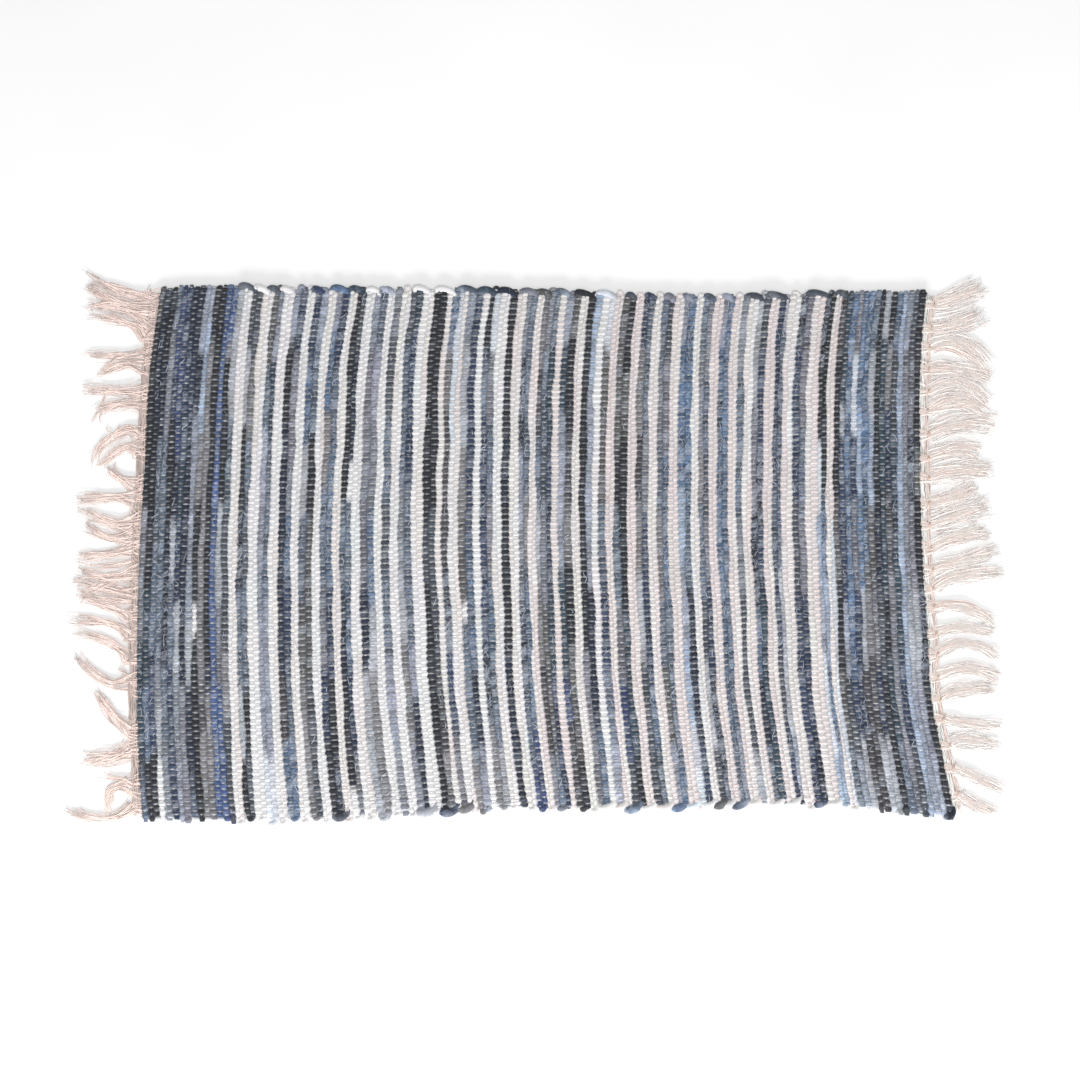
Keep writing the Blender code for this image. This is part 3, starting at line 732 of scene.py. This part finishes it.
def weave_warp(rug, weave, yarn_material):
    """The warp yarns, over one pick and under the next, in two pieces. Lint of the rags greys them; over
    dark picks the greying is also painted shade.
    """
    rng = np.random.default_rng(SEED + 1)
    strands = []
    for end in range(WARP_ENDS):
        v = (end + 0.5) / WARP_ENDS
        row, tops = weave.row(v), weave.top(v)
        stations = [(row[0, 0], THICKNESS / 2, 1, 0)]
        for k, (before, after) in enumerate(zip(row[:-1, 0], row[1:, 0])):
            middle, aside = (before + after) / 2, WARP_SHOULDER_PLACE * (after - before)
            if (end + k) % 2 == 0:
                stations += [(middle - aside, WARP_SHOULDER, WARP_SHOULDER_WIDTH, k),
                             (middle, WARP_CREST, 1, k),
                             (middle + aside, WARP_SHOULDER, WARP_SHOULDER_WIDTH, k)]
            else:
                stations.append((middle, THICKNESS - WARP_CREST, 1, k))
        stations.append((row[-1, 0], THICKNESS / 2, 1, len(row) - 2))
        x, z, wide, pick = np.array(stations).T
        y = np.interp(x, row[:, 0], row[:, 1]) + smooth_noise(rng, 1, x - x[0], 9)[0] * 0.25
        wide = WARP_HALF_WIDTH * wide * (1 + 0.12 * rng.standard_normal(len(x)))
        ring = np.empty((len(x), len(YARN_SECTION), 3))
        for p, (a, b) in enumerate(YARN_SECTION):
            ring[:, p] = np.stack((x, y + a * wide, z + b * WARP_HALF_HEIGHT), -1)
        rag = tops[pick.astype(int)]
        # The warp's tint leans to the colour of the pick it crosses. This is partly lint from the rags and
        # partly painted shade from the neighbouring bumps, and it is strongest over dark picks.
        glow = np.clip(rag[:, 1:2] / 0.14, 0.25, 1)
        lint_and_shade = 0.3 + 0.5 * np.clip(1 - rag[:, 1:2] / 0.1, 0, 1) + 0.55 * rag[:, 3:] * glow
        lint_and_shade = np.minimum(lint_and_shade * (1 + 0.15 * rng.standard_normal((len(x), 1))), 0.95)
        tint = yarn_tints(linear(WARP_COLOUR) * (1 - lint_and_shade) + rag[:, :3] * lint_and_shade)
        strands.append((ring[:, ::-1], tint, x - x[0] + 900 * end))
    half = WARP_ENDS // 2
    return [joined(rug, "warp_front_half", strands[:half], yarn_material),
            joined(rug, "warp_back_half", strands[half:], yarn_material)]


def tube_rings(paths, radii, count, flatten=1.0):
    """Rings round paths, strands x stations x 3, that stay upright as the path turns."""
    ahead = np.gradient(paths, axis=1)
    ahead /= np.maximum(np.linalg.norm(ahead, axis=-1, keepdims=True), 1e-9)
    aside = np.cross(ahead, np.array((0.0, 0.0, 1.0)))
    aside /= np.maximum(np.linalg.norm(aside, axis=-1, keepdims=True), 1e-9)
    over = np.cross(aside, ahead)
    turn = np.arange(count) / count * 2 * math.pi
    ring = (np.cos(turn)[:, None] * aside[:, :, None] + flatten * np.sin(turn)[:, None] * over[:, :, None])
    return paths[:, :, None] + ring * radii[:, :, None, None]


def turns(weave, edge, loops):
    """Where the strip of a stripe turns back at a long edge, unless a larger loop covers it: start
    and end, from 0 to 1 along the cloth, rag and how far it stands out."""
    made = []
    for number, ends in enumerate(weave.ends):
        picks = [k for k, pick in enumerate(weave.picks) if pick[-1] == number]
        if len(picks) < 2:
            continue
        first, last = ((weave.lines[k] + weave.lines[k + 1]) / 2 for k in (picks[0], picks[-1]))
        if not any(loop[0] < (first + last) / 2 < loop[1] for loop in loops):
            words = weave.picks[picks[0]][1].split()
            made.append((first, last, words[0 if edge else -1], 0.4 + ends[1 if edge else 0]))
    return made


def carried_rags(rug, weave, rag_material):
    """Rags that bulge past the long edges, where a strip turns back or is carried to its next pick."""
    rng = np.random.default_rng(SEED + 2)
    steps = np.linspace(0, 1, 12)
    paths, radii, tints = [], [], []
    for edge, table, loops in ((1, BACK_EDGE, BACK_LOOPS), (0, FRONT_EDGE, FRONT_LOOPS)):
        loops = [(*np.interp((start, finish), (table[0][0], table[-1][0]), (0, 1)), rag, proud)
                 for start, finish, rag, proud in loops]
        widths = [LOOP_WIDTH] * len(loops)
        loops += turns(weave, edge, loops)
        widths += [TURN_WIDTH] * (len(loops) - len(widths))
        for (start, finish, rag, proud), fat in zip(loops, widths):
            u = start + (finish - start) * (0.5 - 0.5 * np.cos(math.pi * steps))
            arch = np.sin(math.pi * steps ** rng.uniform(0.6, 1.1)) ** 0.7
            path = np.zeros((len(steps), 3))
            path[:, :2] = cloth_points(u, np.full(len(u), float(edge)))
            reach = (LOOP_RISE + proud) * arch - fat - LOOP_TUCK - LOOP_LEAN * fat * (steps ** 2 - 0.3)
            path[:, 1] += (2 * edge - 1) * reach
            path[:, 2] = LOOP_HEIGHT + LOOP_LIFT * arch
            paths.append(path)
            radii.append(fat * (0.4 + 0.6 * arch) * rng.uniform(0.9, 1.1))
            tints.append(rag_tints(rng, rag, steps, np.cos(np.arange(7) / 7 * 2 * math.pi), 30.0))
    paths, radii, tints = np.stack(paths), np.stack(radii), np.stack(tints)
    measures = np.broadcast_to(steps * 25, radii.shape) + np.arange(len(radii))[:, None] * 70
    rings = rug.place(tube_rings(paths, radii, 7, 0.5))
    return strand_mesh("carried_rags", rings, rag_material, tints, measures)


def curve(start, middle, tip, t):
    """Value that is start at t = 0, passes through middle halfway and ends at tip."""
    return start + 4 * (middle - start) * t * (1 - t) + (tip - start) * t * (2 * t - 1)


def end_wall(side, y):
    """X of the cloth's end at y."""
    v = np.linspace(0, 1, 120)
    points = cloth_points(side.share, v)
    return np.interp(y, points[:, 1], points[:, 0])


def lock_yarns(rng, side, start, middle, tip, spreads, count, steps, root=0.0):
    """Loose wavy yarns beside one another along a curve. Start, middle and tip are each a reach from
    the cloth's end and a place along it. Yarns lie root further apart where they start."""
    paths = []
    for yarn in range(count):
        t = steps * rng.uniform(0.74, 1.06)
        reach, y = (curve(start[k], middle[k], tip[k], t) for k in (0, 1))
        slope = np.arctan2(np.gradient(y), np.gradient(reach))
        rank = 0.65 * ((yarn + 0.5) / count * 2 - 1) + 0.35 * rng.uniform(-1, 1)
        wave = rng.uniform(0.3, 1.1) * np.sin(2 * math.pi * (rng.uniform(1.0, 2.6) * t + rng.random()))
        wide = np.maximum(curve(*spreads, t), 0.8) + root * np.clip(1 - t / 0.4, 0, 1) ** 1.5
        offset = rank * wide + wave * np.clip(4 * t, 0, 1)
        offset += rng.normal(0, 2.2) * t ** 3
        pile = rng.random()
        z = side.yarn_radius + (0.2 + side.pile * pile) * (1 - 0.5 * t) + 0.3 * np.sin(9 * t + 6 * pile)
        reach, y = reach - np.sin(slope) * offset, y + np.cos(slope) * offset
        x = end_wall(side, start[1]) + side.out * reach
        paths.append(np.stack((x, y, np.maximum(z, side.yarn_radius)), -1))
    return paths


def fringe_shape(rng, side, rug, name, paths, radius, count, material, colour):
    """Strands of one fringe, thinner towards their tips and each a shade of its own."""
    paths = np.stack(paths)
    steps = np.linspace(0, 1, paths.shape[1])
    radii = radius * rng.uniform(0.8, 1.2, (len(paths), 1)) * (1 - 0.5 * steps ** 4)
    shade = rng.uniform(*side.shades, (len(paths), 1, 1))
    shade = shade * (1 + 0.05 * rng.standard_normal(radii.shape))[..., None]
    tints = yarn_tints(linear(colour) * shade)
    measures = steps * 75 + np.arange(len(paths))[:, None] * 90
    rings = rug.place(tube_rings(paths, radii, count))
    return strand_mesh(name + "_" + side.name, rings, material, tints, measures)


def fringe(rug, side, material):
    """One fringe: knotted tassels, looser yarns and thin wisps, and at the right end the knots at the
    roots.
    """
    rng = np.random.default_rng(SEED + side.draws)
    steps = np.linspace(0, 1, 15)
    roots = np.array((-1.5, 2.5, 6.0))
    yarns, wisps, knots = [], [], []
    for root, mid_reach, mid_sway, tip_reach, tip_sway, fan in side.tassels:
        knot = (side.heading_width, root)
        middle, tip = (mid_reach, root + mid_sway), (tip_reach, root + tip_sway)
        body = side.body * fan
        spreads = (KNOT_HALF_WIDTH, body, max(fan / 2, body + 0.5))
        for path in lock_yarns(rng, side, knot, middle, tip, spreads, side.yarns, steps, side.root_spread):
            lean = path[0, 1] - root + rng.normal(0, 1.5)
            before = np.empty((3, 3))
            before[:, 1] = root + lean * np.array((1.5, 1.4, 1.2))
            before[:, 0] = end_wall(side, before[:, 1]) + side.out * roots
            before[:, 2] = 3.0, 3.3, 2.8
            yarns.append(np.concatenate((before, path)))
        wide = tuple(width + side.wisp_spread * fan for width in spreads)
        thin = np.linspace(0.0, 1.04, 9)
        for path in lock_yarns(rng, side, knot, middle, tip, wide, side.wisps, thin, side.root_spread):
            curls = np.linspace(0, rng.uniform(5, 11), len(thin)) + rng.random() * 6
            path[:, 1] += rng.uniform(0.6, 1.9) * np.sin(curls)
            wisps.append(path)
        turn = np.linspace(-0.15, 1.15, 9) * math.pi
        knot_path = np.empty((9, 3))
        reach = knot[0] + rng.uniform(-0.8, 0.8) + 0.8 * np.cos(turn)
        knot_path[:, 0] = end_wall(side, root) + side.out * reach
        knot_path[:, 1] = root + (KNOT_HALF_WIDTH + 0.6) * np.cos(turn)
        knot_path[:, 2] = 1.4 + 2.3 * np.sin(turn)
        knots.append(knot_path)
    for count, *ends in side.loose:
        (r0, y0, w0), (r1, y1, w1), (r2, y2, w2) = ends[:3], ends[3:6], ends[6:]
        for path in lock_yarns(rng, side, (r0, y0), (r1, y1), (r2, y2), (w0, w1, w2), count, steps):
            lead = path[:1] + np.linspace(-3, -1, 3)[:, None] * (path[1] - path[0]) * 0.3
            yarns.append(np.concatenate((lead, path)))
    made = [fringe_shape(rng, side, rug, "tassels", yarns, side.yarn_radius, 3, material, side.yarn_colour),
            fringe_shape(rng, side, rug, "wisps", wisps, side.wisp_radius, 3, material, side.wisp_colour)]
    if side is RIGHT:
        made.append(fringe_shape(rng, side, rug, "knots", knots, KNOT_RADIUS, 5, material, KNOT_COLOUR))
    return made


def heading_yarns(rug, side, yarn_material):
    """Yarns that run along the cloth's end, beside one another, with slow waves and loose ends."""
    rng = np.random.default_rng(SEED + side.heading_draws)
    table = side.edge
    count, stations = side.heading_yarns, HEADING_STATIONS
    paths = np.empty((count, stations, 3))
    level = np.linspace(table[0][0], table[-1][0], stations) - table[0][0]
    wave = smooth_noise(rng, count, level, 15)
    lift = smooth_noise(rng, count, level, 12)
    for yarn in range(count):
        y = np.linspace(table[0][0] + rng.uniform(2, 9), table[-1][0] - rng.uniform(3, 12), stations)
        reach = 0.6 + (yarn + 0.5) / count * side.heading_width
        paths[yarn, :, 0] = end_wall(side, y) + side.out * (reach + 0.6 * wave[yarn])
        paths[yarn, :, 1] = y
        paths[yarn, :, 2] = np.maximum(3.0 + 0.6 * lift[yarn] - 0.15 * reach, 0.85)
    radii = np.full((count, stations), HEADING_RADIUS)
    shade = rng.uniform(0.9, 1.05, (count, 1, 1)) * (1 + 0.07 * rng.standard_normal((count, stations, 1)))
    plain = np.arange(count)[:, None, None] < side.heading_plain
    colours = np.where(plain, linear(PLAIN_COLOUR), linear(side.yarn_colour) * side.heading_shade)
    tints = yarn_tints(colours * shade)
    measures = level + np.arange(count)[:, None] * 700
    rings = rug.place(tube_rings(paths, radii, 4))
    return strand_mesh("heading_" + side.name, rings, yarn_material, tints, measures)


def ground_sheet(rug, weave, rag_material):
    """The thin middle of the cloth, between the picks' upper and lower bumps."""
    v = np.linspace(0.004, 0.996, 24)
    points = np.stack([np.concatenate((weave.row(place), np.full((len(weave.lines), 1), THICKNESS / 2)), -1)
                       for place in v], 1)
    points[0, :, 0] += 1.5
    points[-1, :, 0] -= 1.5
    tops = np.stack([weave.top(place) for place in v], 1)
    tints = (np.concatenate((tops[:1], tops)) + np.concatenate((tops, tops[-1:]))) / 2
    rows, columns = points.shape[:2]
    index = np.arange(rows * columns).reshape(rows, columns)
    faces = np.stack((index[:-1, :-1], index[1:, :-1], index[1:, 1:], index[:-1, 1:]), -1).reshape(-1, 4)
    mesh = bpy.data.meshes.new("cloth_ground")
    mesh.from_pydata(rug.place(points).reshape(-1, 3).tolist(), [], faces.tolist())
    mesh.shade_smooth()
    add_attribute(mesh, "tint", "FLOAT_COLOR", "color", tints)
    mesh.materials.append(rag_material)
    piece = add_object("cloth_ground", mesh)
    solid = piece.modifiers.new("thickness", "SOLIDIFY")
    solid.thickness = GROUND_THICKNESS * MM
    solid.offset = 0
    return piece


def node(tree, kind, **values):
    made = tree.nodes.new(kind)
    for name, value in values.items():
        if name in made.inputs:
            made.inputs[name].default_value = value
        else:
            setattr(made, name, value)
    return made


def noise_at(tree, source, scale, detail, rough=0.6):
    """Noise texture read at a scaled attribute or coordinate."""
    mapped = node(tree, "ShaderNodeMapping")
    mapped.inputs["Scale"].default_value = scale
    tree.links.new(source, mapped.inputs["Vector"])
    made = node(tree, "ShaderNodeTexNoise", Scale=1.0, Detail=detail, Roughness=rough)
    tree.links.new(mapped.outputs[0], made.inputs["Vector"])
    return made.outputs["Fac"]


def ramp(tree, source, low, high, to_low=0.0, to_high=1.0):
    made = node(tree, "ShaderNodeMapRange")
    for name, value in (("From Min", low), ("From Max", high), ("To Min", to_low), ("To Max", to_high)):
        made.inputs[name].default_value = value
    tree.links.new(source, made.inputs["Value"])
    return made.outputs[0]


def maths(tree, operation, first, second):
    made = node(tree, "ShaderNodeMath", operation=operation)
    for socket, value in zip(made.inputs, (first, second)):
        if isinstance(value, (int, float)):
            socket.default_value = value
        else:
            tree.links.new(value, socket)
    return made.outputs[0]


def mixed(tree, share, first, second, blend="MIX"):
    made = node(tree, "ShaderNodeMix", data_type="RGBA", blend_type=blend)
    for socket, value in ((made.inputs[0], share), (made.inputs[6], first), (made.inputs[7], second)):
        if isinstance(value, bpy.types.NodeSocket):
            tree.links.new(value, socket)
        else:
            socket.default_value = value
    return made.outputs[2]


def cloth_material(name):
    """Fabric material without its looks: its tree, its pieces' tint and where on a strand it is."""
    made = bpy.data.materials.new(name)
    made.use_nodes = True
    tree = made.node_tree
    shader = tree.nodes["Principled BSDF"]
    shader.inputs["Specular IOR Level"].default_value = 0.2
    shader.inputs["Sheen Weight"].default_value = 0.12
    shader.inputs["Sheen Roughness"].default_value = 0.6
    tint = node(tree, "ShaderNodeAttribute", attribute_name="tint")
    strand = node(tree, "ShaderNodeAttribute", attribute_name="strand")
    return made, tree, tint, strand.outputs["Vector"]


def link_looks(tree, colour, roughness, height, strength, distance):
    """Lead a fabric's colour, roughness and relief to its shader."""
    shader = tree.nodes["Principled BSDF"]
    bump = node(tree, "ShaderNodeBump", Strength=strength, Distance=distance)
    for source, socket in ((colour, shader.inputs["Base Color"]), (roughness, shader.inputs["Roughness"]),
                           (height, bump.inputs["Height"]), (bump.outputs[0], shader.inputs["Normal"])):
        tree.links.new(source, socket)


def make_rag_material():
    """Woven rags: faded patches, pale flecks where worn, folds along the strip and a fine weave."""
    made, tree, tint, strand = cloth_material("woven rags")
    wear = tint.outputs["Alpha"]
    patches = noise_at(tree, strand, (0.07, 1.6, 9.7), 3)
    streaks = noise_at(tree, strand, (0.5, 5.0, 9.7), 3, 0.7)
    fibres = noise_at(tree, strand, (3.2, 16.0, 9.7), 2)
    folds = noise_at(tree, strand, (0.12, 7.0, 9.7), 2)
    swing = ramp(tree, wear, 0, 1, 0.04, 0.5)
    change = maths(tree, "MULTIPLY", ramp(tree, patches, 0.3, 0.7, -1, 1), swing)
    fade = maths(tree, "ADD", change, 1.0)
    faded = mixed(tree, 1.0, tint.outputs["Color"], fade, "MULTIPLY")
    pale = mixed(tree, 0.5, tint.outputs["Color"], (0.6, 0.64, 0.72, 1))
    flecks = maths(tree, "MULTIPLY", ramp(tree, streaks, 0.56, 0.7), wear)
    flecked = mixed(tree, flecks, faded, pale)
    grain = ramp(tree, fibres, 0.3, 0.7, 0.86, 1.1)
    colour = mixed(tree, 1.0, flecked, grain, "MULTIPLY")
    height = maths(tree, "ADD", folds, maths(tree, "MULTIPLY", fibres, 0.4))
    link_looks(tree, colour, ramp(tree, patches, 0.3, 0.7, 0.82, 0.96), height, 0.7, 0.0009)
    return made


def make_yarn_material():
    """Plied cotton yarn: soft twist, a little soil and loose fibres."""
    made, tree, tint, strand = cloth_material("warp yarn")
    soil = noise_at(tree, strand, (0.05, 0.8, 5.3), 2)
    fibres = noise_at(tree, strand, (1.1, 4.0, 5.3), 3)
    soiled, twist = ramp(tree, soil, 0.3, 0.7, 0.94, 1.04), ramp(tree, fibres, 0.3, 0.7, 0.86, 1.08)
    shade = maths(tree, "MULTIPLY", soiled, twist)
    colour = mixed(tree, 1.0, tint.outputs["Color"], shade, "MULTIPLY")
    link_looks(tree, colour, ramp(tree, fibres, 0.3, 0.7, 0.78, 0.95), fibres, 0.6, 0.0004)
    return made


def make_camera():
    """Camera at the photograph's angle, above and in front of the rug."""
    angle = math.radians(VIEW_ELEVATION)
    back = Vector((0, -math.cos(angle), math.sin(angle)))
    camera = add_object("camera", bpy.data.cameras.new("camera"))
    camera.data.lens = LENS
    camera.data.sensor_width = SENSOR
    camera.location = Vector(VIEW_TARGET) + back * VIEW_DISTANCE
    camera.rotation_euler = (math.radians(90 - VIEW_ELEVATION), 0, 0)
    bpy.context.scene.camera = camera


def make_floor():
    """Plain pale floor."""
    bpy.ops.mesh.primitive_plane_add(size=FLOOR_SIZE)
    floor = bpy.context.object
    floor.name = "floor"
    made = bpy.data.materials.new("pale floor")
    made.use_nodes = True
    tree = made.node_tree
    shader = tree.nodes["Principled BSDF"]
    shader.inputs["Specular IOR Level"].default_value = 0.1
    shader.inputs["Roughness"].default_value = 0.9
    place = node(tree, "ShaderNodeTexCoord")
    mottle = noise_at(tree, place.outputs["Object"], (3, 3, 3), 2)
    shade = ramp(tree, mottle, 0.3, 0.7, 0.9, 0.93)
    tree.links.new(shade, shader.inputs["Base Color"])
    floor.data.materials.append(made)


def make_lights():
    """Bright even sky, and a wide low lamp in front that shades the weave."""
    world = bpy.data.worlds.new("studio")
    world.use_nodes = True
    world.node_tree.nodes["Background"].inputs["Color"].default_value = (1, 1, 1, 1)
    world.node_tree.nodes["Background"].inputs["Strength"].default_value = SKY_STRENGTH
    bpy.context.scene.world = world
    for name, place, size, power in LAMPS:
        lamp = bpy.data.lights.new(name, "AREA")
        lamp.shape = "RECTANGLE"
        lamp.size, lamp.size_y = size
        lamp.energy = power
        made = add_object(name, lamp)
        made.location = place
        made.rotation_euler = (-Vector(place)).to_track_quat("-Z", "Y").to_euler()
    bpy.context.scene.view_settings.view_transform = "Standard"


def main():
    for obj in list(bpy.data.objects):
        bpy.data.objects.remove(obj, do_unlink=True)
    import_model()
    rug = Rug()
    weave = Weave()
    rag_material, yarn_material = make_rag_material(), make_yarn_material()
    weft, frays = weave_picks(rug, weave, rag_material)
    weft.append(carried_rags(rug, weave, rag_material))
    ground = ground_sheet(rug, weave, rag_material)
    yarns = weave_warp(rug, weave, yarn_material) + [frayed_threads(rug, frays, yarn_material)]
    for side, end in (("left", LEFT), ("right", RIGHT)):
        made = fringe(rug, end, yarn_material)
        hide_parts("fringe_" + side)
        yarns += made + [heading_yarns(rug, end, yarn_material)]
    for piece in weft + [ground]:
        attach(piece, "root")
    for piece in yarns:
        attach(piece, "root")
    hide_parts("woven_cloth")
    make_camera()
    make_floor()
    make_lights()


main()
